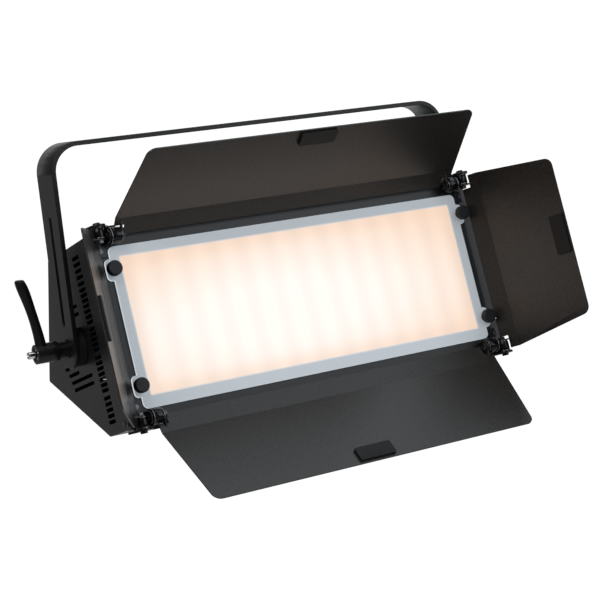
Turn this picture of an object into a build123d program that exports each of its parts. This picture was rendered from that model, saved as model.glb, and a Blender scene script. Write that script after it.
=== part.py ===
"""LED panel light with four barn doors, hanging in a U-shaped yoke.

Origin: centre of the clamp hole, on the outer (top) face of the yoke crossbar.
+Z up, the lamp faces -Y (tilted up a little), +X to the right seen from the front.
"""
from build123d import *
import os
from math import atan2, degrees, hypot

os.makedirs("parts", exist_ok=True)

# ---- yoke --------------------------------------------------------------------------------
BAR_THICK = 5.0            # flat steel bar
BAR_WIDTH = 43.0
YOKE_HALF = 251.0          # half width over the arms
YOKE_CORNER = 32.3         # outer bend radius
PIVOT_DROP = 217.8         # crossbar outer face down to the tilt axis
CLAMP_HOLE_R = 6.5         # M12 clamp bolt
SLOT_WIDTH = 6.5
SLOT_LOW = 24.0            # slot ends above the tilt axis
SLOT_HIGH = 141.0

# ---- tilt pivots and clamping levers -------------------------------------------------------
STUD_R = 5.0               # M10
RUNNING_FIT = 0.08         # radial play of a hole that turns on a pin
PLAY = 0.3                 # radial play of all other moving round parts
DISC_R = 20.5              # friction disc
PIVOT_PLATE = 44.0         # square foot of the pivot stud
PIVOT_PLATE_THICK = 5.0
WASHER_R = 10.25
WASHER_THICK = 2.0
SLEEVE_R = 8.25
SLEEVE_END = 262.6         # distances along X from the middle of the lamp
BOSS_R = 6.0
BOSS_END = 266.6
COLLAR_R = 10.7
COLLAR_END = 272.7
HUB_R = 10.5
HUB_END = 287.2
LEVER_SCREW_R = 2.5
LEVER_SCREW_END = 295.6
SPRING_SHOULDER = 274.0
SCREW_FLANGE = 284.0

# ---- lamp head -----------------------------------------------------------------------------
REST_TILT = 14.15          # the head looks up by this angle
SHEET = 1.5
HALF_W = 236.0             # side plates, outer faces
HALF_H = 102.5             # top and bottom sheet, outer faces
INNER_HALF = HALF_W - SHEET
FRONT = -93.5              # front face of the diffuser
CASE_FRONT = FRONT + 5.0
TOP_BACK = 35.5            # where the top sheet meets the rear cover
REAR_Y, REAR_Z = 110.5, -20.0
BOTTOM_BACK = -26.5        # where the bottom sheet bends up
LIP = 10.0                 # fold at the end of a sheet

# ---- front ---------------------------------------------------------------------------------
DIFFUSER_W, DIFFUSER_H, DIFFUSER_THICK = 440.0, 171.4, 3.0
EAR_OUT = 227.0
EAR_HEIGHT = 23.0
WINDOW_W, WINDOW_H = 416.0, 147.4
BEZEL_HALF_W, BEZEL_HALF_H = 238.0, 104.5
BEZEL_SHEET = 2.0
BEZEL_Y = FRONT + 3.0
BEZEL_DEPTH = 11.0
THUMB_X, THUMB_Z = 221.4, 61.7
KNOB_R = 8.0
THUMB_R = 2.5              # M5
INSERT_R = 4.0
TRAY_W, TRAY_H, TRAY_DEPTH = 420.0, 152.0, 33.0
TRAY_FLANGE_W, TRAY_FLANGE_H = 464.0, 198.0
BOARD_W, BOARD_H, BOARD_THICK = 416.0, 148.0, 1.6
LED_PITCH, LED_COLUMNS, LED_ROWS = 34.0, 12, 4

# ---- barn doors and their hinges -----------------------------------------------------------
HINGE_Y = FRONT - 8.7      # all four hinge lines lie in this plane
HINGE_Z = 95.6             # top and bottom doors
HINGE_X = 230.5            # side doors
DOOR_FLANGE = 18.7         # hinge line to crease
DOOR_BEND = 22.2
FLANGE_EDGE = (-2.5, -4.0)  # near edge of the flange, across and in front of the hinge line
DOOR_CORNER = 10.0
PIN_R = 2.0                # M4
BRACKET_THICK = 2.5
BRACKET_Y = BEZEL_Y - BRACKET_THICK
X_EAR, Z_EAR = 219.5, 105.5
TOP_EAR, SIDE_EAR = 206.5, 93.5       # outer faces of the ears of the long and the side doors
RIVET_X, RIVET_Z = 229.0, 82.0

# ---- rear cover ----------------------------------------------------------------------------
COVER_LENGTH = hypot(REAR_Y - TOP_BACK, HALF_H - REAR_Z)
COVER_FALL = degrees(atan2(HALF_H - REAR_Z, REAR_Y - TOP_BACK))
SLOPE_LENGTH = hypot(REAR_Y - BOTTOM_BACK, REAR_Z + HALF_H)
SLOPE_RISE = degrees(atan2(REAR_Z + HALF_H, REAR_Y - BOTTOM_BACK))
DISPLAY_W, DISPLAY_H = 62.0, 26.0
DISPLAY_UP = 28.0
BUTTON_R = 4.5
BUTTON_PITCH = 20.0
BUTTON_UP = 2.0
SOCKET_UP = -32.0
SOCKET_R = 11.5

HEAD = Location((0, 0, -PIVOT_DROP), (-REST_TILT, 0, 0))
PIVOT = Location((0, 0, -PIVOT_DROP))
ACROSS = Plane(HEAD * Plane.YZ.location)   # mirror planes of the head
LEVEL = Plane(HEAD * Plane.XY.location)


def within(frame, origin, x_dir, z_dir):
    """Plane given in the coordinates of a frame."""
    return Plane(frame * Plane(origin=origin, x_dir=x_dir, z_dir=z_dir).location)


def facing_front(y):
    """Head plane: local x to the right, local y up, normal towards the front."""
    return within(HEAD, (0, y, 0), (1, 0, 0), (0, -1, 0))


def facing_right(x):
    """Head plane: local x to the back, local y up, normal to the right."""
    return within(HEAD, (x, 0, 0), (0, 1, 0), (1, 0, 0))


def facing_up(z):
    """Head plane: local x to the right, local y to the back, normal up."""
    return within(HEAD, (0, 0, z), (1, 0, 0), (0, 0, 1))


def on_pivot(x):
    """Plane across the tilt axis: local x to the back, local y straight up."""
    return within(PIVOT, (x, 0, 0), (0, 1, 0), (1, 0, 0))


# Outer face of the rear cover: local x to the left, local y up the cover, normal outwards.
COVER_DOWN = Vector(0, REAR_Y - TOP_BACK, REAR_Z - HALF_H).normalized()
COVER_OUT = Vector(1, 0, 0).cross(COVER_DOWN)
COVER_MID = Vector(0, (TOP_BACK + REAR_Y) / 2, (HALF_H + REAR_Z) / 2)
COVER = within(HEAD, COVER_MID, (-1, 0, 0), COVER_OUT)

# Inner face of the sloping bottom sheet: local x to the right, local y up the slope.
SLOPE_UP = Vector(0, REAR_Y - BOTTOM_BACK, REAR_Z + HALF_H).normalized()
SLOPE_IN = Vector(1, 0, 0).cross(SLOPE_UP)
SLOPE_START = Vector(0, BOTTOM_BACK, -HALF_H) + SLOPE_IN * SHEET
SLOPE = within(HEAD, SLOPE_START, (1, 0, 0), SLOPE_IN)

BEZEL_SCREWS = [(FRONT + 9.3, 97.5), (FRONT + 9.3, -97.5)]
SIDE_SCREWS = [(-72.0, 95.0), (20.0, 95.0), (-72.0, -95.0)]
COVER_SCREWS = [-222.0, -74.0, 74.0, 222.0]
COVER_SCREW_INSET = 6.0


def cover_screw_points():
    """Screw positions near the upper and the lower edge of the rear cover."""
    rows = [COVER_LENGTH / 2 - COVER_SCREW_INSET, COVER_SCREW_INSET - COVER_LENGTH / 2]
    return [(x, y) for x in COVER_SCREWS for y in rows]


# ---- yoke ----------------------------------------------------------------------------------
ARM_LENGTH = PIVOT_DROP + BAR_WIDTH / 2
with BuildPart() as yoke:
    with BuildSketch(Plane.XZ) as u_profile:
        with Locations((0, -ARM_LENGTH / 2)):
            Rectangle(2 * YOKE_HALF, ARM_LENGTH)
        fillet(u_profile.vertices().group_by(Axis.Y)[-1], YOKE_CORNER)
        with BuildSketch(mode=Mode.PRIVATE) as inside:
            with Locations((0, -ARM_LENGTH / 2 - BAR_THICK)):
                Rectangle(2 * (YOKE_HALF - BAR_THICK), ARM_LENGTH)
            fillet(inside.vertices().group_by(Axis.Y)[-1], YOKE_CORNER - BAR_THICK)
        add(inside.sketch, mode=Mode.SUBTRACT)
    extrude(amount=BAR_WIDTH / 2, both=True)
    with BuildSketch(on_pivot(0)) as arm_ends:
        with Locations((0, -BAR_WIDTH / 4)):
            Rectangle(BAR_WIDTH + 2, BAR_WIDTH / 2 + 2)
        Circle(BAR_WIDTH / 2, mode=Mode.SUBTRACT)
        with Locations((0, BAR_WIDTH / 4)):
            Rectangle(BAR_WIDTH + 4, BAR_WIDTH / 2, mode=Mode.SUBTRACT)
    extrude(amount=YOKE_HALF + 1, both=True, mode=Mode.SUBTRACT)
    with BuildSketch(on_pivot(0)) as arm_holes:
        Circle(STUD_R + RUNNING_FIT)
        with Locations((0, (SLOT_LOW + SLOT_HIGH) / 2)):
            SlotOverall(SLOT_HIGH - SLOT_LOW, SLOT_WIDTH, rotation=90)
    extrude(amount=YOKE_HALF + 1, both=True, mode=Mode.SUBTRACT)
    with BuildSketch(Plane.XY):
        Circle(CLAMP_HOLE_R)
    extrude(amount=-BAR_THICK, mode=Mode.SUBTRACT)
yoke.part.label = "yoke"
export_step(yoke.part, "parts/yoke.step")

# ---- side plates ---------------------------------------------------------------------------
SIDE_PROFILE = [
    (CASE_FRONT, HALF_H),
    (TOP_BACK, HALF_H),
    (REAR_Y, REAR_Z),
    (BOTTOM_BACK, -HALF_H),
    (CASE_FRONT, -HALF_H),
]
# Column of short slots behind the bezel: (slots, lowest z, highest z) of each group.
SLOT_GROUPS = [(5, 60.5, 88.3), (7, 18.9, 53.9), (5, -10.7, 11.1), (7, -54.6, -19.5), (5, -88.5, -63.0)]
SLOT_LENGTH, SLOT_TALL = 18.5, 4.2
SLOT_Y = FRONT + 52.3
# Long slots above and below the pivot: (front y, back y, distance from the axis).
LONG_SLOTS = [(42.5, 55.5, 17.0), (17.5, 48.5, 25.2), (-16.5, 45.5, 33.5), (-16.5, 42.5, 42.0)]
LONG_TALL = 4.0


def vent_points():
    """Centres of the short slots."""
    points = []
    for count, low, high in SLOT_GROUPS:
        step = (high - low) / (count - 1)
        points += [(SLOT_Y, low + step * i) for i in range(count)]
    return points


with BuildPart() as side_plate_right:
    with BuildSketch(facing_right(INNER_HALF)) as side_outline:
        Polygon(*SIDE_PROFILE, align=None)
        fillet(side_outline.vertices().group_by(Axis.X)[1:], 2.0)
        Circle(STUD_R + PLAY, mode=Mode.SUBTRACT)
        with Locations(*vent_points()):
            RectangleRounded(SLOT_LENGTH, SLOT_TALL, 0.8, mode=Mode.SUBTRACT)
        for front_y, back_y, z in LONG_SLOTS:
            with Locations(((front_y + back_y) / 2, z), ((front_y + back_y) / 2, -z)):
                SlotOverall(back_y - front_y, LONG_TALL, mode=Mode.SUBTRACT)
        with Locations(*SIDE_SCREWS, *BEZEL_SCREWS):
            Circle(1.6, mode=Mode.SUBTRACT)
    extrude(amount=SHEET)
side_plate_right.part.label = "side_plate_right"
export_step(side_plate_right.part, "parts/side_plate_right.step")

with BuildPart() as side_plate_left:
    mirror(side_plate_right.part, about=ACROSS)
side_plate_left.part.label = "side_plate_left"
export_step(side_plate_left.part, "parts/side_plate_left.step")


# ---- folded sheets of the case -------------------------------------------------------------
def side_lips(z, y_from, y_to):
    """Folds at both ends of a sheet, lying against the side plates."""
    with BuildSketch(facing_up(z)) as lips:
        for x in (INNER_HALF - SHEET / 2, SHEET / 2 - INNER_HALF):
            with Locations((x, (y_from + y_to) / 2)):
                Rectangle(SHEET, y_to - y_from)
    extrude(lips.sketch, amount=LIP)


def side_screw_holes(points):
    """Clearance holes through both side folds."""
    with BuildSketch(facing_right(-INNER_HALF)) as holes:
        with Locations(*points):
            Circle(1.5)
    extrude(holes.sketch, amount=2 * INNER_HALF, mode=Mode.SUBTRACT)


def cover_screw_holes():
    """Holes for the rear cover screws."""
    with BuildSketch(COVER) as holes:
        with Locations(*cover_screw_points()):
            Circle(1.5)
    extrude(holes.sketch, amount=-2 * SHEET, mode=Mode.SUBTRACT)


# The top sheet ends in a fold that lies against the inner face of the rear cover.
TOP_FOLD = Vector(TOP_BACK - SHEET / COVER_OUT.Y, HALF_H)
TOP_FOLD_END = TOP_FOLD + Vector(COVER_DOWN.Y, COVER_DOWN.Z) * LIP
with BuildPart() as housing_top:
    with BuildSketch(facing_right(-INNER_HALF)):
        with BuildLine():
            Polyline((CASE_FRONT, HALF_H), TOP_FOLD, TOP_FOLD_END)
            offset(amount=SHEET, side=Side.RIGHT, kind=Kind.INTERSECTION)
        make_face()
    extrude(amount=2 * INNER_HALF)
    side_lips(HALF_H - SHEET - LIP, CASE_FRONT + 12, TOP_BACK - 10)
    side_screw_holes(SIDE_SCREWS[:2])
    cover_screw_holes()
housing_top.part.label = "housing_top"
export_step(housing_top.part, "parts/housing_top.step")

# The bottom sheet runs up the rear slope and ends in the same kind of fold.
SLOPE_FOLD = Vector(REAR_Y, REAR_Z) - Vector(SLOPE_UP.Y, SLOPE_UP.Z) * (SHEET / SLOPE_UP.dot(COVER_OUT))
SLOPE_FOLD_END = SLOPE_FOLD - Vector(COVER_DOWN.Y, COVER_DOWN.Z) * LIP
with BuildPart() as housing_bottom:
    with BuildSketch(facing_right(-INNER_HALF)):
        with BuildLine():
            Polyline((CASE_FRONT, -HALF_H), (BOTTOM_BACK, -HALF_H), SLOPE_FOLD, SLOPE_FOLD_END)
            offset(amount=SHEET, side=Side.LEFT, kind=Kind.INTERSECTION)
        make_face()
    extrude(amount=2 * INNER_HALF)
    side_lips(SHEET - HALF_H, CASE_FRONT + 12, BOTTOM_BACK - 2)
    side_screw_holes(SIDE_SCREWS[2:])
    cover_screw_holes()
    # Ventilation slots across the slope
    with BuildSketch(SLOPE):
        with GridLocations(34, 14, 11, 3):
            with Locations((0, SLOPE_LENGTH / 2 + 42)):
                SlotOverall(24, 4)
    extrude(amount=-2 * SHEET, mode=Mode.SUBTRACT)
housing_bottom.part.label = "housing_bottom"
export_step(housing_bottom.part, "parts/housing_bottom.step")

# ---- rear cover with its panel -------------------------------------------------------------
BUTTONS_X = [(i - 1.5) * BUTTON_PITCH for i in range(4)]
SOCKETS_X = {"mains_inlet": 150.0, "data_in": -110.0, "data_out": -160.0}
with BuildPart() as rear_cover:
    with BuildSketch(COVER):
        Rectangle(2 * INNER_HALF, COVER_LENGTH)
        with Locations((0, DISPLAY_UP)):
            RectangleRounded(DISPLAY_W, DISPLAY_H, 2, mode=Mode.SUBTRACT)
        with Locations(*[(x, BUTTON_UP) for x in BUTTONS_X]):
            Circle(BUTTON_R + PLAY, mode=Mode.SUBTRACT)
        with Locations(*[(x, SOCKET_UP) for x in SOCKETS_X.values()]):
            Circle(SOCKET_R + PLAY, mode=Mode.SUBTRACT)
        with Locations(*cover_screw_points()):
            Circle(1.6, mode=Mode.SUBTRACT)
    extrude(amount=-SHEET)
rear_cover.part.label = "rear_cover"
export_step(rear_cover.part, "parts/rear_cover.step")

with BuildPart() as display_window:
    with BuildSketch(COVER.offset(-0.4)):
        with Locations((0, DISPLAY_UP)):
            RectangleRounded(DISPLAY_W - 0.2, DISPLAY_H - 0.2, 1.9)
    extrude(amount=0.4 - SHEET)
    with BuildSketch(COVER.offset(-SHEET)):
        with Locations((0, DISPLAY_UP)):
            RectangleRounded(DISPLAY_W + 6, DISPLAY_H + 6, 3)
    extrude(amount=-SHEET)
display_window.part.label = "display_window"
export_step(display_window.part, "parts/display_window.step")

for number, x in enumerate(BUTTONS_X, start=1):
    with BuildPart() as menu_button:
        with BuildSketch(COVER.offset(-SHEET)):
            with Locations((x, BUTTON_UP)):
                Circle(BUTTON_R)
        extrude(amount=SHEET + 2.0)
        fillet(menu_button.edges().filter_by(GeomType.CIRCLE).sort_by(Axis(COVER.origin, COVER.z_dir))[-1], 0.7)
        with BuildSketch(COVER.offset(-SHEET)):
            with Locations((x, BUTTON_UP)):
                Circle(BUTTON_R + 1.2)
        extrude(amount=-1.6)
    menu_button.part.label = f"menu_button_{number}"
    export_step(menu_button.part, f"parts/menu_button_{number}.step")

BOARD_DEEP = 8.0           # outer cover face to the front of the control board
with BuildPart() as control_board:
    with BuildSketch(COVER.offset(-BOARD_DEEP)):
        with Locations((0, 15)):
            Rectangle(118, 66)
    extrude(amount=-1.6)
    with BuildSketch(COVER.offset(-BOARD_DEEP)):
        with Locations((0, 15)):
            with GridLocations(106, 54, 2, 2):
                Circle(3)
    extrude(amount=BOARD_DEEP - SHEET)
    with BuildSketch(COVER.offset(-BOARD_DEEP)):
        with Locations((0, DISPLAY_UP)):
            Rectangle(58, 22)
    extrude(amount=4.9)
    with BuildSketch(COVER.offset(-BOARD_DEEP)):
        with Locations(*[(x, BUTTON_UP) for x in BUTTONS_X]):
            Rectangle(6, 6)
    extrude(amount=3.2)
    with BuildSketch(COVER.offset(-BOARD_DEEP - 1.6)):
        with Locations((-35, 10), (0, 10), (32, 22)):
            Rectangle(16, 12)
    extrude(amount=-3)
control_board.part.label = "control_board"
export_step(control_board.part, "parts/control_board.step")


def socket_body(x):
    """Flange, barrel and rear block shared by the three panel sockets."""
    with BuildSketch(COVER) as flange:
        with Locations((x, SOCKET_UP)):
            RectangleRounded(26, 31, 2.5)
            with Locations((9.5, 12), (-9.5, -12)):
                Circle(1.6, mode=Mode.SUBTRACT)
    extrude(flange.sketch, amount=2)
    with BuildSketch(COVER) as barrel:
        with Locations((x, SOCKET_UP)):
            Circle(SOCKET_R)
    extrude(barrel.sketch, amount=-22)


with BuildPart() as mains_inlet:
    socket_body(SOCKETS_X["mains_inlet"])
    with BuildSketch(COVER.offset(2)):
        with Locations((SOCKETS_X["mains_inlet"], SOCKET_UP)):
            Circle(10.2)
            Circle(6.6, mode=Mode.SUBTRACT)
            with PolarLocations(8.4, 2):
                Rectangle(4.5, 3.5, mode=Mode.SUBTRACT)
    extrude(amount=-14, mode=Mode.SUBTRACT)
    with BuildSketch(COVER.offset(2)):
        with Locations((SOCKETS_X["mains_inlet"], SOCKET_UP)):
            with PolarLocations(3.6, 3, start_angle=90):
                Rectangle(1.6, 3.4)
    extrude(amount=-10, mode=Mode.SUBTRACT)
mains_inlet.part.label = "mains_inlet"
export_step(mains_inlet.part, "parts/mains_inlet.step")

with BuildPart() as data_in:
    socket_body(SOCKETS_X["data_in"])
    with BuildSketch(COVER.offset(2)):
        with Locations((SOCKETS_X["data_in"], SOCKET_UP)):
            Circle(9.4)
    extrude(amount=-16, mode=Mode.SUBTRACT)
    with BuildSketch(COVER.offset(-14)):
        with Locations((SOCKETS_X["data_in"], SOCKET_UP)):
            with PolarLocations(4.8, 3, start_angle=90):
                Circle(1.2)
    extrude(amount=11)
data_in.part.label = "data_in"
export_step(data_in.part, "parts/data_in.step")

with BuildPart() as data_out:
    socket_body(SOCKETS_X["data_out"])
    with BuildSketch(COVER.offset(2)):
        with Locations((SOCKETS_X["data_out"], SOCKET_UP)):
            Circle(9.8)
            Circle(8.2, mode=Mode.SUBTRACT)
    extrude(amount=-14, mode=Mode.SUBTRACT)
    with BuildSketch(COVER.offset(2)):
        with Locations((SOCKETS_X["data_out"], SOCKET_UP)):
            with PolarLocations(4.8, 3, start_angle=90):
                Circle(1.4)
    extrude(amount=-12, mode=Mode.SUBTRACT)
data_out.part.label = "data_out"
export_step(data_out.part, "parts/data_out.step")

# ---- front bezel, diffuser and light engine ------------------------------------------------
with BuildPart() as front_bezel:
    with BuildSketch(facing_front(BEZEL_Y)):
        RectangleRounded(2 * BEZEL_HALF_W, 2 * BEZEL_HALF_H, 3)
    extrude(amount=-BEZEL_DEPTH)
    with BuildSketch(facing_front(BEZEL_Y + BEZEL_SHEET)):
        Rectangle(2 * HALF_W, 2 * HALF_H)
    extrude(amount=BEZEL_SHEET - BEZEL_DEPTH, mode=Mode.SUBTRACT)
    with BuildSketch(facing_front(BEZEL_Y)):
        RectangleRounded(WINDOW_W, WINDOW_H, 4)
        with GridLocations(2 * THUMB_X, 2 * THUMB_Z, 2, 2):
            Circle(THUMB_R + PLAY)
        with GridLocations(2 * RIVET_X, 2 * RIVET_Z, 2, 2):
            Circle(1.55)
    extrude(amount=-BEZEL_SHEET, mode=Mode.SUBTRACT)
    with BuildSketch(facing_right(-BEZEL_HALF_W)):
        with Locations(*BEZEL_SCREWS):
            Circle(1.6)
    extrude(amount=2 * BEZEL_HALF_W, mode=Mode.SUBTRACT)
front_bezel.part.label = "front_bezel"
export_step(front_bezel.part, "parts/front_bezel.step")

with BuildPart() as diffuser_plate:
    with BuildSketch(facing_front(FRONT)) as plate_outline:
        RectangleRounded(DIFFUSER_W, DIFFUSER_H, 6)
        with Locations((0, THUMB_Z), (0, -THUMB_Z)):
            RectangleRounded(2 * EAR_OUT, EAR_HEIGHT, 5)
        with GridLocations(2 * THUMB_X, 2 * THUMB_Z, 2, 2):
            Circle(THUMB_R + PLAY, mode=Mode.SUBTRACT)
    extrude(amount=-DIFFUSER_THICK)
diffuser_plate.part.label = "diffuser_plate"
export_step(diffuser_plate.part, "parts/diffuser_plate.step")

TRAY_Y = BEZEL_Y + BEZEL_SHEET
with BuildPart() as reflector_tray:
    with BuildSketch(facing_front(TRAY_Y)):
        Rectangle(TRAY_FLANGE_W, TRAY_FLANGE_H)
        with GridLocations(2 * THUMB_X, 2 * THUMB_Z, 2, 2):
            Circle(INSERT_R, mode=Mode.SUBTRACT)
        with GridLocations(2 * RIVET_X, 2 * RIVET_Z, 2, 2):
            Circle(1.55, mode=Mode.SUBTRACT)
    extrude(amount=-SHEET)
    with BuildSketch(facing_front(TRAY_Y)):
        Rectangle(TRAY_W + 2 * SHEET, TRAY_H + 2 * SHEET)
    extrude(amount=-TRAY_DEPTH - SHEET)
    with BuildSketch(facing_front(TRAY_Y)):
        Rectangle(TRAY_W, TRAY_H)
    extrude(amount=-TRAY_DEPTH, mode=Mode.SUBTRACT)
reflector_tray.part.label = "reflector_tray"
export_step(reflector_tray.part, "parts/reflector_tray.step")

LED_BOARD_Y = TRAY_Y + TRAY_DEPTH - BOARD_THICK
with BuildPart() as led_board:
    with BuildSketch(facing_front(LED_BOARD_Y)):
        Rectangle(BOARD_W, BOARD_H)
    extrude(amount=-BOARD_THICK)
led_board.part.label = "led_board"
export_step(led_board.part, "parts/led_board.step")

with BuildPart() as led_packages:
    with BuildSketch(facing_front(LED_BOARD_Y)):
        with GridLocations(LED_PITCH, LED_PITCH, LED_COLUMNS, LED_ROWS):
            Rectangle(5, 5)
    extrude(amount=0.8)
    with BuildSketch(facing_front(LED_BOARD_Y - 0.8)):
        with GridLocations(LED_PITCH, LED_PITCH, LED_COLUMNS, LED_ROWS):
            Circle(2)
    extrude(amount=0.4)
led_packages.part.label = "led_packages"
export_step(led_packages.part, "parts/led_packages.step")

SINK_Y = TRAY_Y + TRAY_DEPTH + SHEET
with BuildPart() as heat_sink:
    with BuildSketch(facing_front(SINK_Y)):
        Rectangle(400, 148)
    extrude(amount=-4)
    with BuildSketch(facing_front(SINK_Y + 4)):
        with GridLocations(15.8, 1, 26, 1):
            Rectangle(2, 148)
    extrude(amount=-18)
heat_sink.part.label = "heat_sink"
export_step(heat_sink.part, "parts/heat_sink.step")

with BuildPart() as power_supply:
    with BuildSketch(SLOPE):
        with Locations((-75, 70)):
            Rectangle(200, 88)
    extrude(amount=36)
    chamfer(power_supply.edges().filter_by(Axis.X), 1.5)
    with BuildSketch(SLOPE.offset(36)):
        with Locations((-75, 70)):
            with GridLocations(12, 12, 12, 5):
                Circle(3)
    extrude(amount=-1.5, mode=Mode.SUBTRACT)
    with BuildSketch(SLOPE):
        with Locations((33, 70)):
            Rectangle(16, 76)
    extrude(amount=14)
power_supply.part.label = "power_supply"
export_step(power_supply.part, "parts/power_supply.step")

with BuildPart() as driver_board:
    with BuildSketch(SLOPE):
        with Locations((125, 70)):
            with GridLocations(118, 72, 2, 2):
                Circle(3.5)
    extrude(amount=8)
    with BuildSketch(SLOPE.offset(8)):
        with Locations((125, 70)):
            Rectangle(130, 84)
    extrude(amount=1.6)
    with BuildSketch(SLOPE.offset(9.6)):
        with Locations((90, 88), (118, 88), (146, 88)):
            Rectangle(18, 18)
        with Locations((95, 50), (118, 50), (141, 50), (164, 50)):
            Circle(7)
    extrude(amount=16)
driver_board.part.label = "driver_board"
export_step(driver_board.part, "parts/driver_board.step")

# ---- thumb screws that hold the diffuser ---------------------------------------------------
with BuildPart() as thumb_inserts:
    with BuildSketch(facing_front(TRAY_Y)):
        with GridLocations(2 * THUMB_X, 2 * THUMB_Z, 2, 2):
            Circle(INSERT_R)
            Circle(THUMB_R + RUNNING_FIT, mode=Mode.SUBTRACT)
    extrude(amount=-6)
thumb_inserts.part.label = "thumb_inserts"
export_step(thumb_inserts.part, "parts/thumb_inserts.step")

KNOB_FRONT = FRONT - 12.0
KNOB_LENGTH = 8.0
for level, z in (("top", THUMB_Z), ("bottom", -THUMB_Z)):
    for side, x in (("left", -THUMB_X), ("right", THUMB_X)):
        with BuildPart() as thumb_screw:
            with BuildSketch(facing_front(KNOB_FRONT)):
                with Locations((x, z)):
                    Circle(KNOB_R)
            extrude(amount=-KNOB_LENGTH)
            chamfer(thumb_screw.edges().filter_by(GeomType.CIRCLE), 1.0)
            with BuildSketch(facing_front(KNOB_FRONT)):
                with Locations((x, z)):
                    with PolarLocations(KNOB_R + 0.2, 32):
                        Circle(0.5)
            extrude(amount=-KNOB_LENGTH, mode=Mode.SUBTRACT)
            with BuildSketch(facing_front(KNOB_FRONT + KNOB_LENGTH)):
                with Locations((x, z)):
                    Circle(5)
            extrude(amount=KNOB_FRONT + KNOB_LENGTH - FRONT)
            with BuildSketch(facing_front(FRONT)):
                with Locations((x, z)):
                    Circle(THUMB_R)
            extrude(amount=-12)
        thumb_screw.part.label = f"thumb_screw_{level}_{side}"
        export_step(thumb_screw.part, f"parts/thumb_screw_{level}_{side}.step")

# ---- hinge brackets and hinge hardware -----------------------------------------------------
with BuildPart() as hinge_bracket_top_right:
    with BuildSketch(facing_front(BRACKET_Y)) as foot:
        Polygon((206, 88.5), (222, 88.5), (222, 76), (236, 76), (236, 108), (206, 108), align=None)
        fillet(foot.vertices().sort_by_distance((236, 76))[0], 3)
        fillet(foot.vertices().sort_by_distance((206, 88.5))[0], 3)
        with Locations((RIVET_X, RIVET_Z)):
            Circle(1.55, mode=Mode.SUBTRACT)
    extrude(amount=-BRACKET_THICK)
    with BuildSketch(facing_right(X_EAR)):
        with Locations(((HINGE_Y + BEZEL_Y) / 2, HINGE_Z)):
            Rectangle(BEZEL_Y - HINGE_Y, 14)
        with Locations((HINGE_Y, HINGE_Z)):
            Circle(7)
            Circle(PIN_R, mode=Mode.SUBTRACT)
    extrude(amount=BRACKET_THICK)
    with BuildSketch(facing_up(Z_EAR)):
        Polygon(
            (214.5, BEZEL_Y), (243, BEZEL_Y), (243, BEZEL_Y - 3), (239.5, HINGE_Y),
            (221.5, HINGE_Y), (214.5, BEZEL_Y - 4), align=None,
        )
        with Locations((HINGE_X, HINGE_Y)):
            Circle(9)
            Circle(PIN_R, mode=Mode.SUBTRACT)
    extrude(amount=BRACKET_THICK)
hinge_bracket_top_right.part.label = "hinge_bracket_top_right"
export_step(hinge_bracket_top_right.part, "parts/hinge_bracket_top_right.step")

with BuildPart() as hinge_bracket_top_left:
    mirror(hinge_bracket_top_right.part, about=ACROSS)
hinge_bracket_top_left.part.label = "hinge_bracket_top_left"
export_step(hinge_bracket_top_left.part, "parts/hinge_bracket_top_left.step")

with BuildPart() as hinge_bracket_bottom_right:
    mirror(hinge_bracket_top_right.part, about=LEVEL)
hinge_bracket_bottom_right.part.label = "hinge_bracket_bottom_right"
export_step(hinge_bracket_bottom_right.part, "parts/hinge_bracket_bottom_right.step")

with BuildPart() as hinge_bracket_bottom_left:
    mirror(hinge_bracket_top_left.part, about=LEVEL)
hinge_bracket_bottom_left.part.label = "hinge_bracket_bottom_left"
export_step(hinge_bracket_bottom_left.part, "parts/hinge_bracket_bottom_left.step")


def hinge_ring(x_start, z_start, radii, inner, x_long, z_long):
    """Rings on the two bolts of the top right corner; radii: top door's bolt, side door's bolt."""
    with BuildSketch(facing_right(x_start)) as on_top_bolt:
        with Locations((HINGE_Y, HINGE_Z)):
            Circle(radii[0])
            if inner:
                Circle(inner, mode=Mode.SUBTRACT)
    extrude(on_top_bolt.sketch, amount=x_long)
    with BuildSketch(facing_up(z_start)) as on_side_bolt:
        with Locations((HINGE_X, HINGE_Y)):
            Circle(radii[1])
            if inner:
                Circle(inner, mode=Mode.SUBTRACT)
    extrude(on_side_bolt.sketch, amount=z_long)


def to_all_corners():
    """Repeat the top right corner's pieces at the other three corners."""
    mirror(about=ACROSS)
    mirror(about=LEVEL)


with BuildPart() as hinge_bolts:
    hinge_ring(X_EAR + BRACKET_THICK, Z_EAR + BRACKET_THICK, (3.6, 3.8), 0, 1.7, 2.5)
    hinge_ring(X_EAR + BRACKET_THICK, Z_EAR + BRACKET_THICK, (PIN_R, PIN_R), 0, -20.2, -19.2)
    to_all_corners()
hinge_bolts.part.label = "hinge_bolts"
export_step(hinge_bolts.part, "parts/hinge_bolts.step")

with BuildPart() as hinge_washers:
    hinge_ring(X_EAR, Z_EAR, (8.8, 7.0), PIN_R, -1, -1)
    hinge_ring(TOP_EAR + 0.2, SIDE_EAR + 0.2, (7.5, 6.3), PIN_R, 1, 1)
    to_all_corners()
hinge_washers.part.label = "hinge_washers"
export_step(hinge_washers.part, "parts/hinge_washers.step")

with BuildPart() as hinge_bushings:
    hinge_ring(TOP_EAR + 1.2, SIDE_EAR + 1.2, (8.5, 6.6), PIN_R, X_EAR - TOP_EAR - 2.2, Z_EAR - SIDE_EAR - 2.2)
    to_all_corners()
hinge_bushings.part.label = "hinge_bushings"
export_step(hinge_bushings.part, "parts/hinge_bushings.step")

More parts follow.
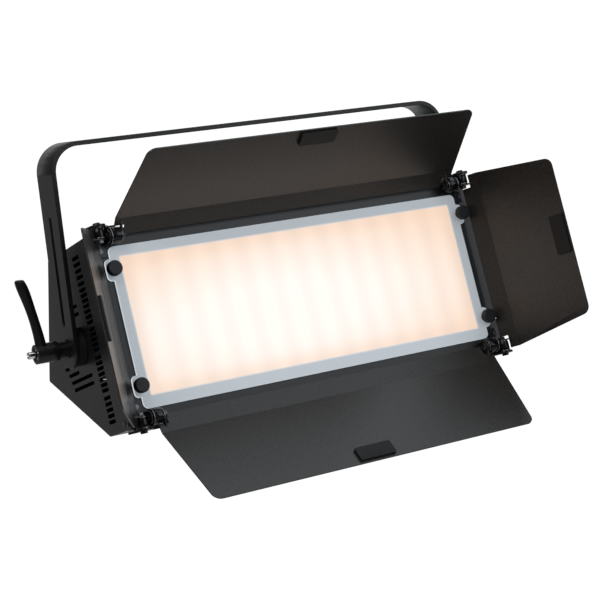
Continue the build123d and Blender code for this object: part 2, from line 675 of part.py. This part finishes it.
with BuildPart() as hinge_nuts:
    with BuildSketch(facing_right(TOP_EAR - SHEET - 0.2)):
        with Locations((HINGE_Y, HINGE_Z)):
            RegularPolygon(4, 6)
            Circle(PIN_R, mode=Mode.SUBTRACT)
    extrude(amount=-2.8)
    with BuildSketch(facing_up(SIDE_EAR - SHEET - 0.2)):
        with Locations((HINGE_X, HINGE_Y)):
            RegularPolygon(4, 6)
            Circle(PIN_R, mode=Mode.SUBTRACT)
    extrude(amount=-2.8)
    to_all_corners()
hinge_nuts.part.label = "hinge_nuts"
export_step(hinge_nuts.part, "parts/hinge_nuts.step")

with BuildPart() as bracket_rivets:
    with BuildSketch(facing_front(BRACKET_Y)):
        with GridLocations(2 * RIVET_X, 2 * RIVET_Z, 2, 2):
            Circle(2.8)
    extrude(amount=1.2)
    with BuildSketch(facing_front(BRACKET_Y)):
        with GridLocations(2 * RIVET_X, 2 * RIVET_Z, 2, 2):
            Circle(1.5)
    extrude(amount=-(TRAY_Y + SHEET - BRACKET_Y))
    with BuildSketch(facing_front(TRAY_Y + SHEET)):
        with GridLocations(2 * RIVET_X, 2 * RIVET_Z, 2, 2):
            Circle(2.4)
    extrude(amount=-1)
bracket_rivets.part.label = "bracket_rivets"
export_step(bracket_rivets.part, "parts/bracket_rivets.step")


# ---- barn doors ----------------------------------------------------------------------------
def flange_frame(outward, hinge, angle):
    """Frame on a hinge line: x along the hinge, y across the flange, z into the beam."""
    front = Vector(0, -1, 0)
    normal = outward.rotate(Axis((0, 0, 0), outward.cross(front)), angle + 90)
    return HEAD * Plane(origin=hinge, x_dir=outward.cross(front), z_dir=normal).location


FLANGE_LEAN = degrees(atan2(-FLANGE_EDGE[1], DOOR_FLANGE - FLANGE_EDGE[0]))
FLANGE_LENGTH = hypot(DOOR_FLANGE - FLANGE_EDGE[0], FLANGE_EDGE[1])
RELIEF_WIDTH, RELIEF_DEPTH = 9.4, 1.1      # openings of the side doors round the thumb screws


def barn_door(frame, edge, ear, crease, free, length, step, reliefs):
    """Flange, bent leaf and two hinge ears; all widths are half widths from the middle.

    The step, measured from the near edge of the flange, clears the hinge hardware beside the ears.
    """
    near = frame * Location((0, *FLANGE_EDGE), (FLANGE_LEAN, 0, 0))
    with BuildSketch(Plane(near)) as flange:
        Polygon(
            (-edge, 0), (edge, 0), (edge, step), (crease, step), (crease, FLANGE_LENGTH),
            (-crease, FLANGE_LENGTH), (-crease, step), (-edge, step), align=None,
        )
        for x in reliefs:
            with Locations((x, 0)):
                Rectangle(RELIEF_WIDTH, 2 * RELIEF_DEPTH, mode=Mode.SUBTRACT)
    extrude(flange.sketch, amount=-SHEET)
    leaf = frame * Location((0, DOOR_FLANGE, 0), (DOOR_BEND, 0, 0))
    with BuildSketch(Plane(leaf)) as outline:
        Polygon((-crease, 0), (crease, 0), (free, length), (-free, length), align=None)
        fillet(outline.vertices().group_by(Axis.Y)[-1], DOOR_CORNER)
    extrude(outline.sketch, amount=-SHEET)
    # Outside of the bend
    with BuildSketch(within(frame, (-crease, 0, 0), (0, 1, 0), (1, 0, 0))) as bend:
        with BuildLine():
            PolarLine((DOOR_FLANGE, 0), SHEET, FLANGE_LEAN - 90)
            CenterArc((DOOR_FLANGE, 0), SHEET, FLANGE_LEAN - 90, DOOR_BEND - FLANGE_LEAN)
            PolarLine((DOOR_FLANGE, 0), SHEET, DOOR_BEND - 90)
        make_face()
    extrude(bend.sketch, amount=2 * crease)
    for start in (-ear, ear - SHEET):
        with BuildSketch(within(frame, (start, 0, 0), (0, 1, 0), (1, 0, 0))) as tab:
            Circle(5.5)
            Polygon((0, 5.5), (13, -1.08), (13, -2.6), (6.5, -3.8), (0, -5.5), align=None)
            Circle(PIN_R + RUNNING_FIT, mode=Mode.SUBTRACT)
        extrude(tab.sketch, amount=SHEET)


def door_pad(frame, length, shift):
    """Rubber pad on the inner face, near the free edge."""
    leaf = frame * Location((0, DOOR_FLANGE, 0), (DOOR_BEND, 0, 0))
    with BuildSketch(Plane(leaf)) as pad:
        with Locations((shift, length - 11.5)):
            RectangleRounded(44, 17, 1.5)
    extrude(pad.sketch, amount=3)


UP, RIGHT = Vector(0, 0, 1), Vector(1, 0, 0)
# label, outward direction, hinge line, flange angle, pad shift
LONG_DOORS = [
    ("top", UP, Vector(0, HINGE_Y, HINGE_Z), 38.7, 0.0),
    ("bottom", -UP, Vector(0, HINGE_Y, -HINGE_Z), 14.7, 5.0),
]
SHORT_DOORS = [
    ("right", RIGHT, Vector(HINGE_X, HINGE_Y, 0), 52.5, -3.5),
    ("left", -RIGHT, Vector(-HINGE_X, HINGE_Y, 0), 40.8, 0.0),
]
for label, outward, hinge, angle, shift in LONG_DOORS:
    frame = flange_frame(outward, hinge, angle)
    with BuildPart() as long_door:
        barn_door(
            frame, edge=201.5, ear=TOP_EAR, crease=213.3, free=199.6, length=97.5, step=12.2,
            reliefs=[],
        )
    long_door.part.label = f"barn_door_{label}"
    export_step(long_door.part, f"parts/barn_door_{label}.step")
    with BuildPart() as long_pad:
        door_pad(frame, 97.5, shift)
    long_pad.part.label = f"door_pad_{label}"
    export_step(long_pad.part, f"parts/door_pad_{label}.step")

for label, outward, hinge, angle, shift in SHORT_DOORS:
    frame = flange_frame(outward, hinge, angle)
    with BuildPart() as short_door:
        barn_door(
            frame, edge=88.5, ear=SIDE_EAR, crease=103.1, free=88.4, length=105.6, step=10.4,
            reliefs=[-THUMB_Z, THUMB_Z],
        )
    short_door.part.label = f"barn_door_{label}"
    export_step(short_door.part, f"parts/barn_door_{label}.step")
    with BuildPart() as short_pad:
        door_pad(frame, 105.6, shift)
    short_pad.part.label = f"door_pad_{label}"
    export_step(short_pad.part, f"parts/door_pad_{label}.step")

# ---- pivots --------------------------------------------------------------------------------
with BuildPart() as friction_disc_right:
    with BuildSketch(facing_right(HALF_W)):
        Circle(DISC_R)
        Circle(STUD_R + PLAY, mode=Mode.SUBTRACT)
    extrude(amount=YOKE_HALF - BAR_THICK - 0.1 - HALF_W)
    chamfer(friction_disc_right.edges().filter_by(GeomType.CIRCLE).group_by(SortBy.RADIUS)[-1], 0.8)
friction_disc_right.part.label = "friction_disc_right"
export_step(friction_disc_right.part, "parts/friction_disc_right.step")

with BuildPart() as friction_disc_left:
    mirror(friction_disc_right.part, about=ACROSS)
friction_disc_left.part.label = "friction_disc_left"
export_step(friction_disc_left.part, "parts/friction_disc_left.step")

with BuildPart() as pivot_stud_right:
    with BuildSketch(facing_right(INNER_HALF)):
        RectangleRounded(PIVOT_PLATE, PIVOT_PLATE, 5)
    extrude(amount=-PIVOT_PLATE_THICK)
    with BuildSketch(facing_right(INNER_HALF)):
        Circle(STUD_R)
    extrude(amount=SLEEVE_END - 1.5 - INNER_HALF)
pivot_stud_right.part.label = "pivot_stud_right"
export_step(pivot_stud_right.part, "parts/pivot_stud_right.step")

with BuildPart() as pivot_stud_left:
    mirror(pivot_stud_right.part, about=ACROSS)
pivot_stud_left.part.label = "pivot_stud_left"
export_step(pivot_stud_left.part, "parts/pivot_stud_left.step")

with BuildPart() as clamp_washers:
    with BuildSketch(on_pivot(YOKE_HALF)):
        Circle(WASHER_R)
        Circle(STUD_R + PLAY, mode=Mode.SUBTRACT)
    extrude(amount=WASHER_THICK)
    mirror(about=Plane.YZ)
clamp_washers.part.label = "clamp_washers"
export_step(clamp_washers.part, "parts/clamp_washers.step")

# ---- clamping levers -----------------------------------------------------------------------
TOOTH_COUNT = 12
SLEEVE_START = YOKE_HALF + WASHER_THICK + 0.1
with BuildPart() as lever_sleeve_right:
    with BuildSketch(on_pivot(SLEEVE_START)):
        Circle(SLEEVE_R)
    extrude(amount=SLEEVE_END - SLEEVE_START)
    with BuildSketch(on_pivot(SLEEVE_END)):
        Circle(BOSS_R)
        with PolarLocations(BOSS_R, TOOTH_COUNT):
            Rectangle(1.6, 1.2)
    extrude(amount=BOSS_END - SLEEVE_END)
    with BuildSketch(on_pivot(SLEEVE_START)):
        Circle(STUD_R + RUNNING_FIT)
    extrude(amount=SLEEVE_END - 0.8 - SLEEVE_START, mode=Mode.SUBTRACT)
    with BuildSketch(on_pivot(SLEEVE_START)):
        Circle(LEVER_SCREW_R)
    extrude(amount=BOSS_END - SLEEVE_START, mode=Mode.SUBTRACT)
lever_sleeve_right.part.label = "lever_sleeve_right"
export_step(lever_sleeve_right.part, "parts/lever_sleeve_right.step")

with BuildPart() as lever_screw_right:
    with BuildSketch(on_pivot(SLEEVE_END)):
        Circle(LEVER_SCREW_R)
    extrude(amount=SCREW_FLANGE - SLEEVE_END)
    with BuildSketch(on_pivot(SCREW_FLANGE)):
        Circle(6.2)
    extrude(amount=2)
    with BuildSketch(on_pivot(SCREW_FLANGE + 2)):
        Circle(4)
    extrude(amount=LEVER_SCREW_END - SCREW_FLANGE - 2)
    chamfer(lever_screw_right.edges().group_by(Axis.X)[-1], 0.6)
    with BuildSketch(on_pivot(LEVER_SCREW_END)):
        Rectangle(9, 1.2)
    extrude(amount=-2, mode=Mode.SUBTRACT)
lever_screw_right.part.label = "lever_screw_right"
export_step(lever_screw_right.part, "parts/lever_screw_right.step")

# Spring drawn at its pressed length so that the handle can be pulled out over it.
SPRING_TURNS = 4
SPRING_WIRE = 0.45
with BuildPart() as lever_spring_right:
    with BuildLine() as coil:
        Helix(
            pitch=(SCREW_FLANGE - SPRING_SHOULDER - 4.6) / SPRING_TURNS,
            height=SCREW_FLANGE - SPRING_SHOULDER - 5.4,
            radius=4.5,
            center=(SPRING_SHOULDER + 5.0, 0, -PIVOT_DROP),
            direction=(1, 0, 0),
        )
    with BuildSketch(coil.line ^ 0):
        Circle(SPRING_WIRE)
    sweep()
lever_spring_right.part.label = "lever_spring_right"
export_step(lever_spring_right.part, "parts/lever_spring_right.step")

# Handle sections: distance above the axis, distance along X, y, half width, half thickness.
GRIP = [
    (4.0, 279.5, 0.0, 7.4, 6.4),
    (16.0, 280.5, 0.2, 6.4, 5.6),
    (34.0, 283.0, 0.8, 6.0, 5.2),
    (56.0, 287.5, 1.3, 6.6, 5.6),
    (72.0, 291.5, 1.7, 7.4, 6.0),
    (80.5, 294.0, 2.0, 6.0, 4.8),
]
with BuildPart() as lever_handle_right:
    for up, along, y, half_width, half_thick in GRIP:
        with BuildSketch(within(PIVOT, (along, y, up), (0, 1, 0), (0, 0, 1))):
            Ellipse(half_width, half_thick)
    loft()
    fillet(lever_handle_right.faces().sort_by(Axis.Z)[-1].edges(), 2.5)
    with BuildSketch(on_pivot(SLEEVE_END + 0.1)):
        Circle(COLLAR_R)
    extrude(amount=COLLAR_END - SLEEVE_END - 0.1)
    with BuildSketch(on_pivot(COLLAR_END)):
        Circle(HUB_R)
    extrude(amount=HUB_END - COLLAR_END)
    with BuildSketch(on_pivot(SLEEVE_END)):
        Circle(BOSS_R + PLAY)
        with PolarLocations(BOSS_R + PLAY, TOOTH_COUNT):
            Rectangle(1.6 + 2 * PLAY, 1.2 + 2 * PLAY)
    extrude(amount=BOSS_END + 0.4 - SLEEVE_END, mode=Mode.SUBTRACT)
    with BuildSketch(on_pivot(SLEEVE_END)):
        Circle(LEVER_SCREW_R + PLAY)
    extrude(amount=HUB_END - SLEEVE_END, mode=Mode.SUBTRACT)
    with BuildSketch(on_pivot(SPRING_SHOULDER)):
        Circle(6.2 + PLAY)
    extrude(amount=HUB_END + 10 - SPRING_SHOULDER, mode=Mode.SUBTRACT)
lever_handle_right.part.label = "lever_handle_right"
export_step(lever_handle_right.part, "parts/lever_handle_right.step")

RIGHT_LEVER = {
    "lever_sleeve_left": lever_sleeve_right,
    "lever_screw_left": lever_screw_right,
    "lever_spring_left": lever_spring_right,
    "lever_handle_left": lever_handle_right,
}
for label, source in RIGHT_LEVER.items():
    with BuildPart() as left_piece:
        mirror(source.part, about=Plane.YZ)
    left_piece.part.label = label
    export_step(left_piece.part, f"parts/{label}.step")

# ---- case screws ---------------------------------------------------------------------------
with BuildPart() as case_screws:
    for x, out in ((HALF_W, 1), (-HALF_W, -1)):
        with BuildSketch(facing_right(x)):
            with Locations(*SIDE_SCREWS):
                Circle(3)
        extrude(amount=out * 1.6)
        with BuildSketch(facing_right(x)):
            with Locations(*SIDE_SCREWS):
                Circle(1.5)
        extrude(amount=-out * 5)
        with BuildSketch(facing_right(out * BEZEL_HALF_W)):
            with Locations(*BEZEL_SCREWS):
                Circle(2.4)
        extrude(amount=out * 1.3)
        with BuildSketch(facing_right(out * BEZEL_HALF_W)):
            with Locations(*BEZEL_SCREWS):
                Circle(1.5)
        extrude(amount=-out * 7)
    with BuildSketch(COVER):
        with Locations(*cover_screw_points()):
            Circle(3)
    extrude(amount=1.6)
    with BuildSketch(COVER):
        with Locations(*cover_screw_points()):
            Circle(1.5)
    extrude(amount=-5)
case_screws.part.label = "case_screws"
export_step(case_screws.part, "parts/case_screws.step")
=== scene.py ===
import bpy
import math
from mathutils import Matrix, Vector

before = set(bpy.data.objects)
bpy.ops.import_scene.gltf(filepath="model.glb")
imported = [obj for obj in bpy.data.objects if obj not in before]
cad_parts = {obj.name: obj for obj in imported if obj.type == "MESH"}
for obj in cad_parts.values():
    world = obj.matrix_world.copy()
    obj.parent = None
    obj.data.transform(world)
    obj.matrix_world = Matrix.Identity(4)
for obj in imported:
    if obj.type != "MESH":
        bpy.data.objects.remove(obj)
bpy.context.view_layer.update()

# ---------------------------------------------------------------- sizes, in metres
PIVOT_DROP = 0.2178             # yoke's top face to the tilt axis
TILT = math.radians(14.15)      # the lamp leans by this at rest
LED_PITCH = 0.034               # the glow has one faint upright band for each LED column
WINDOW_X, WINDOW_Z = 0.2105, 0.0752     # half width and half height of the window in the bezel
HEART_X, HEART_Z = -0.04, -0.012        # middle of the whitest part of the glow
SPREAD_X, SPREAD_Z = 0.37, 0.11         # how far the glow takes to turn fully warm


# ---------------------------------------------------------------- materials
def new_material(name):
    mat = bpy.data.materials.new(name)
    mat.use_nodes = True
    tree = mat.node_tree
    shader = tree.nodes["Principled BSDF"]
    return mat, tree, shader


def powder_coat(name, color, rough, grain, bump, speckle):
    """Black fine-texture powder coat: fine bumps and tiny lighter specks."""
    mat, tree, shader = new_material(name)
    shader.inputs["Roughness"].default_value = rough
    shader.inputs["Specular IOR Level"].default_value = 0.5
    coords = tree.nodes.new("ShaderNodeTexCoord")
    noise = tree.nodes.new("ShaderNodeTexNoise")
    noise.inputs["Scale"].default_value = grain
    noise.inputs["Detail"].default_value = 3
    noise.inputs["Roughness"].default_value = 0.6
    tree.links.new(coords.outputs["Object"], noise.inputs["Vector"])
    ramp = tree.nodes.new("ShaderNodeValToRGB")
    ramp.color_ramp.elements[0].position = 0.35
    ramp.color_ramp.elements[0].color = (*[c * (1 - speckle) for c in color], 1)
    ramp.color_ramp.elements[1].position = 0.7
    ramp.color_ramp.elements[1].color = (*[c * (1 + speckle) for c in color], 1)
    tree.links.new(noise.outputs["Fac"], ramp.inputs["Fac"])
    tree.links.new(ramp.outputs["Color"], shader.inputs["Base Color"])
    height = tree.nodes.new("ShaderNodeBump")
    height.inputs["Strength"].default_value = bump
    height.inputs["Distance"].default_value = 0.0004
    tree.links.new(noise.outputs["Fac"], height.inputs["Height"])
    tree.links.new(height.outputs["Normal"], shader.inputs["Normal"])
    return mat


def surface(name, color, rough, metal=0.0, grain=400, wobble=0.1, coat=0.0):
    """Plain surface whose roughness wanders a little."""
    mat, tree, shader = new_material(name)
    shader.inputs["Base Color"].default_value = (*color, 1)
    shader.inputs["Metallic"].default_value = metal
    shader.inputs["Coat Weight"].default_value = coat
    coords = tree.nodes.new("ShaderNodeTexCoord")
    noise = tree.nodes.new("ShaderNodeTexNoise")
    noise.inputs["Scale"].default_value = grain
    tree.links.new(coords.outputs["Object"], noise.inputs["Vector"])
    spread = tree.nodes.new("ShaderNodeMapRange")
    spread.inputs["To Min"].default_value = max(0.02, rough - wobble)
    spread.inputs["To Max"].default_value = min(1.0, rough + wobble)
    tree.links.new(noise.outputs["Fac"], spread.inputs["Value"])
    tree.links.new(spread.outputs["Result"], shader.inputs["Roughness"])
    return mat


def dull(mat, level):
    """Lowers the mirror part of a surface."""
    mat.node_tree.nodes["Principled BSDF"].inputs["Specular IOR Level"].default_value = level
    return mat


black_coat = dull(powder_coat("black_coat", (0.007, 0.007, 0.0075), 0.40, 900, 0.3, 0.6), 0.4)
# The doors get a warmer, lighter copy of the black coat: the warm tint and the extra lightness
# are painted light, standing in for the panel's warm glow falling on the doors.
door_coat = dull(powder_coat("door_coat", (0.020, 0.0172, 0.0150), 0.34, 800, 0.2, 0.7), 0.42)
satin_black = dull(surface("satin_black", (0.008, 0.008, 0.009), 0.30), 0.3)
gloss_black = dull(surface("gloss_black", (0.004, 0.004, 0.005), 0.14, wobble=0.05), 0.25)
rubber_black = dull(surface("rubber_black", (0.007, 0.007, 0.007), 0.62), 0.3)
plastic_black = dull(surface("plastic_black", (0.010, 0.011, 0.013), 0.42), 0.25)
bright_steel = surface("bright_steel", (0.20, 0.20, 0.20), 0.25, metal=1.0)
black_oxide = dull(surface("black_oxide", (0.008, 0.008, 0.009), 0.26), 0.3)
dark_steel = surface("dark_steel", (0.10, 0.10, 0.11), 0.35, metal=1.0)
chrome = surface("chrome", (0.80, 0.80, 0.78), 0.10, metal=1.0, wobble=0.03)
aluminium = surface("aluminium", (0.22, 0.22, 0.225), 0.5, metal=1.0)
brass = surface("brass", (0.62, 0.45, 0.18), 0.3, metal=1.0)
white_coat = surface("white_coat", (0.78, 0.77, 0.74), 0.55)
board_green = surface("board_green", (0.02, 0.10, 0.045), 0.35)
board_white = surface("board_white", (0.75, 0.74, 0.70), 0.45)
phosphor = surface("phosphor", (0.80, 0.62, 0.20), 0.4)
socket_blue = surface("socket_blue", (0.02, 0.06, 0.22), 0.4)
dark_glass = surface("dark_glass", (0.008, 0.010, 0.012), 0.08, wobble=0.02)


def glow_material():
    """Frosted acrylic: cool grey border over the bezel with painted cool light on it, warm glow
    in the window, faint bands.
    """
    mat, tree, shader = new_material("frosted_glow")
    new, link = tree.nodes.new, tree.links.new
    coords = new("ShaderNodeTexCoord")
    turn = new("ShaderNodeMapping")
    turn.vector_type = "POINT"
    turn.inputs["Rotation"].default_value = (TILT, 0, 0)
    link(coords.outputs["Object"], turn.inputs["Vector"])
    split = new("ShaderNodeSeparateXYZ")
    link(turn.outputs["Vector"], split.inputs["Vector"])
    # Turned back by the tilt, the middle of the window lies PIVOT_DROP * cos(TILT) below zero.
    rise = new("ShaderNodeMath")
    rise.operation = "ADD"
    rise.inputs[1].default_value = PIVOT_DROP * math.cos(TILT)
    link(split.outputs["Z"], rise.inputs[0])

    def inside(value, half, soft, shift):
        """1 well inside the window edge, 0 outside."""
        move = new("ShaderNodeMath")
        move.operation = "SUBTRACT"
        move.inputs[1].default_value = shift
        link(value, move.inputs[0])
        size = new("ShaderNodeMath")
        size.operation = "ABSOLUTE"
        link(move.outputs[0], size.inputs[0])
        ramp = new("ShaderNodeMapRange")
        ramp.interpolation_type = "SMOOTHSTEP"
        ramp.inputs["From Min"].default_value = half
        ramp.inputs["From Max"].default_value = half - soft
        ramp.inputs["To Min"].default_value = 0.0
        ramp.inputs["To Max"].default_value = 1.0
        link(size.outputs[0], ramp.inputs["Value"])
        return ramp.outputs["Result"]

    def times(a, b):
        product = new("ShaderNodeMath")
        product.operation = "MULTIPLY"
        link(a, product.inputs[0])
        link(b, product.inputs[1])
        return product.outputs[0]

    x, z = split.outputs["X"], rise.outputs[0]
    window = times(inside(x, WINDOW_X, 0.003, -0.0008), inside(z, WINDOW_Z, 0.003, 0.0008))
    middle = times(inside(x, WINDOW_X, 0.018, 0.0), inside(z, WINDOW_Z, 0.022, 0.0))
    wave = new("ShaderNodeMath")
    wave.operation = "COSINE"
    stretch = new("ShaderNodeMath")
    stretch.operation = "MULTIPLY"
    stretch.inputs[1].default_value = 2 * math.pi / LED_PITCH
    link(x, stretch.inputs[0])
    link(stretch.outputs[0], wave.inputs[0])
    bands = new("ShaderNodeMapRange")
    bands.inputs["From Min"].default_value = -1
    bands.inputs["From Max"].default_value = 1
    bands.inputs["To Min"].default_value = 1.03
    bands.inputs["To Max"].default_value = 0.97
    link(wave.outputs[0], bands.inputs["Value"])
    # The light is whitest left of the middle and warmer towards the right end and the top edge.
    away = new("ShaderNodeMapping")
    away.inputs["Location"].default_value = (-HEART_X / SPREAD_X, 0, -HEART_Z / SPREAD_Z)
    away.inputs["Scale"].default_value = (1 / SPREAD_X, 0, 1 / SPREAD_Z)
    plane = new("ShaderNodeCombineXYZ")
    link(x, plane.inputs["X"])
    link(z, plane.inputs["Z"])
    link(plane.outputs["Vector"], away.inputs["Vector"])
    reach = new("ShaderNodeVectorMath")
    reach.operation = "LENGTH"
    link(away.outputs["Vector"], reach.inputs[0])
    heart = new("ShaderNodeMapRange")
    heart.interpolation_type = "SMOOTHSTEP"
    heart.inputs["From Min"].default_value = 1.0
    heart.inputs["From Max"].default_value = 0.2
    link(reach.outputs["Value"], heart.inputs["Value"])
    inner = new("ShaderNodeMapRange")
    inner.inputs["To Min"].default_value = 0.6
    inner.inputs["To Max"].default_value = 1.0
    link(middle, inner.inputs["Value"])
    warm = new("ShaderNodeMix")
    warm.data_type = "RGBA"
    warm.inputs["A"].default_value = (0.91, 0.67, 0.51, 1)
    warm.inputs["B"].default_value = (1.0, 0.915, 0.855, 1)
    link(times(heart.outputs["Result"], inner.outputs["Result"]), warm.inputs["Factor"])
    # Emission colour: cool on the border outside the window, where it is painted light for the
    # studio light on the border, and the warm lamp glow inside the window.
    glow_with_painted_rim_light = new("ShaderNodeMix")
    glow_with_painted_rim_light.data_type = "RGBA"
    glow_with_painted_rim_light.inputs["A"].default_value = (0.86, 0.95, 1.0, 1)
    link(window, glow_with_painted_rim_light.inputs["Factor"])
    link(warm.outputs["Result"], glow_with_painted_rim_light.inputs["B"])
    link(glow_with_painted_rim_light.outputs["Result"], shader.inputs["Emission Color"])
    power = new("ShaderNodeMapRange")
    power.inputs["To Min"].default_value = 0.96
    power.inputs["To Max"].default_value = 1.0
    link(middle, power.inputs["Value"])
    glow = times(power.outputs["Result"], bands.outputs["Result"])
    # The sheet carries some of the LEDs' light out to its rim, and its cut edges shine; the rest
    # of the rim's cool glow is painted light, standing in for the cool studio light falling on
    # the border and its edges.
    facing = new("ShaderNodeVectorMath")
    facing.operation = "DOT_PRODUCT"
    facing.inputs[1].default_value = (0, -math.cos(TILT), math.sin(TILT))
    link(coords.outputs["Normal"], facing.inputs[0])
    rim = new("ShaderNodeMapRange")
    rim.inputs["From Min"].default_value = 0.98
    rim.inputs["From Max"].default_value = 0.6
    rim.inputs["To Min"].default_value = 0.20
    rim.inputs["To Max"].default_value = 0.62
    link(facing.outputs["Value"], rim.inputs["Value"])
    strength = new("ShaderNodeMix")
    link(window, strength.inputs["Factor"])
    link(rim.outputs["Result"], strength.inputs["A"])
    link(glow, strength.inputs["B"])
    link(strength.outputs["Result"], shader.inputs["Emission Strength"])
    tint = new("ShaderNodeMix")
    tint.data_type = "RGBA"
    tint.inputs["A"].default_value = (0.50, 0.525, 0.56, 1)
    tint.inputs["B"].default_value = (0.03, 0.03, 0.03, 1)
    link(window, tint.inputs["Factor"])
    link(tint.outputs["Result"], shader.inputs["Base Color"])
    shader.inputs["Roughness"].default_value = 0.45
    return mat


frosted = glow_material()

FINISH = {
    "yoke": black_coat, "side_plate": black_coat, "housing": black_coat, "rear_cover": black_coat,
    "front_bezel": black_coat, "barn_door": door_coat, "door_pad": rubber_black,
    "hinge_bracket": satin_black, "thumb_screw": plastic_black, "thumb_inserts": brass,
    "hinge_bolts": black_oxide, "hinge_washers": bright_steel, "hinge_bushings": gloss_black,
    "hinge_nuts": dark_steel, "bracket_rivets": dark_steel, "diffuser_plate": frosted,
    "reflector_tray": white_coat, "led_board": board_white, "led_packages": phosphor,
    "heat_sink": aluminium, "power_supply": aluminium, "driver_board": board_green,
    "control_board": board_green, "display_window": dark_glass, "mains_inlet": socket_blue,
    "data_in": plastic_black, "data_out": plastic_black, "clamp_washers": black_oxide,
    "case_screws": dark_steel, "menu_button": plastic_black, "friction_disc": rubber_black,
    "pivot_stud": bright_steel, "lever_spring": bright_steel, "lever_sleeve": satin_black,
    "lever_screw": chrome, "lever_handle": satin_black,
}


def finish_of(name):
    """Material of a CAD node, by the start of its name."""
    for start, mat in FINISH.items():
        if name.startswith(start):
            return mat
    return black_coat


for name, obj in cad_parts.items():
    obj.data.materials.clear()
    obj.data.materials.append(finish_of(name))


# ---------------------------------------------------------------- rounded edges
def soften(obj, width):
    """Joins the split vertices and rounds the edges sharper than 35 degrees."""
    weld = obj.modifiers.new("weld", "WELD")
    weld.merge_threshold = 1e-5
    bevel = obj.modifiers.new("bevel", "BEVEL")
    bevel.width = width
    bevel.segments = 2
    bevel.limit_method = "ANGLE"
    bevel.angle_limit = math.radians(35)
    bevel.harden_normals = True


EDGES = {
    "yoke": 0.0006, "diffuser_plate": 0.0008, "barn_door": 0.0004, "door_pad": 0.0008,
    "side_plate": 0.0003, "hinge_bracket": 0.0004, "thumb_screw": 0.0004, "lever_handle": 0.0004,
    "hinge_bushings": 0.0006, "hinge_washers": 0.0002, "hinge_bolts": 0.0005,
    "case_screws": 0.0005, "bracket_rivets": 0.0005,
}
for name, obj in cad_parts.items():
    for start, width in EDGES.items():
        if name.startswith(start):
            soften(obj, width)

# ---------------------------------------------------------------- camera
EYE = Vector((-0.9130, -1.6529, 0.0068))
AHEAD = Vector((0.49644, 0.86065, -0.11327)).normalized()
RIGHTWARD = AHEAD.cross(Vector((0.15522, 0.04038, 0.98705))).normalized()
UPWARD = RIGHTWARD.cross(AHEAD)
cam = bpy.data.cameras.new("camera")
cam.lens = 100.09
cam.sensor_width = 36
cam.clip_start = 0.05
cam.clip_end = 50
camera = bpy.data.objects.new("camera", cam)
bpy.context.scene.collection.objects.link(camera)
turned = Matrix((RIGHTWARD, UPWARD, -AHEAD)).transposed().to_4x4()
camera.matrix_world = Matrix.Translation(EYE) @ turned
bpy.context.scene.camera = camera


# ---------------------------------------------------------------- stage and light
CENTRE = Vector((0, -0.08, -0.2))


def softbox(name, place, size, power, color=(1, 1, 1)):
    """Soft light at a place, looking at the lamp."""
    data = bpy.data.lights.new(name, "AREA")
    data.shape = "RECTANGLE"
    data.size, data.size_y = size
    data.energy = power
    data.color = color
    lamp = bpy.data.objects.new(name, data)
    bpy.context.scene.collection.objects.link(lamp)
    lamp.location = place
    lamp.rotation_euler = (CENTRE - Vector(place)).to_track_quat("-Z", "Y").to_euler()


softbox("key", (-1.6, -1.2, 1.6), (1.4, 1.4), 26)
softbox("fill", (1.15, -1.9, 0.6), (1.5, 1.5), 16, (0.88, 0.94, 1.0))
softbox("top", (0.75, -0.15, 1.5), (1.9, 1.5), 15, (0.84, 0.93, 1.0))

world = bpy.data.worlds.new("studio")
bpy.context.scene.world = world
bpy.context.scene.view_settings.view_transform = "Standard"
world.use_nodes = True
sky = world.node_tree
where = sky.nodes.new("ShaderNodeTexCoord")
toward = sky.nodes.new("ShaderNodeVectorMath")
toward.operation = "DOT_PRODUCT"
toward.inputs[1].default_value = AHEAD
sky.links.new(where.outputs["Generated"], toward.inputs[0])
level = sky.nodes.new("ShaderNodeMapRange")
level.interpolation_type = "SMOOTHSTEP"
level.inputs["From Min"].default_value = 0.60
level.inputs["From Max"].default_value = 0.955
level.inputs["To Min"].default_value = 0.16
level.inputs["To Max"].default_value = 1.05
sky.links.new(toward.outputs["Value"], level.inputs["Value"])
background = sky.nodes["Background"]
background.inputs["Color"].default_value = (1, 1, 1, 1)
# The backdrop itself is plain white from every side; only its light on the lamp is uneven.
seen = sky.nodes.new("ShaderNodeLightPath")
backdrop = sky.nodes.new("ShaderNodeMix")
sky.links.new(seen.outputs["Is Camera Ray"], backdrop.inputs["Factor"])
sky.links.new(level.outputs["Result"], backdrop.inputs["A"])
backdrop.inputs["B"].default_value = 1.05
sky.links.new(backdrop.outputs["Result"], background.inputs["Strength"])

# The floor is low and round, so that it stays out of the main view.
FLOOR_DROP = 1.3
FLOOR_RADIUS = 2.1
FLOOR_SIDES = 96
turns = [2 * math.pi * k / FLOOR_SIDES for k in range(FLOOR_SIDES)]
rim = [(FLOOR_RADIUS * math.cos(t), FLOOR_RADIUS * math.sin(t), -FLOOR_DROP) for t in turns]
floor_mesh = bpy.data.meshes.new("floor")
floor_mesh.from_pydata(rim, [], [list(range(FLOOR_SIDES))])
floor_mesh.materials.append(surface("floor_pale", (0.86, 0.86, 0.85), 0.7))
floor = bpy.data.objects.new("floor", floor_mesh)
bpy.context.scene.collection.objects.link(floor)
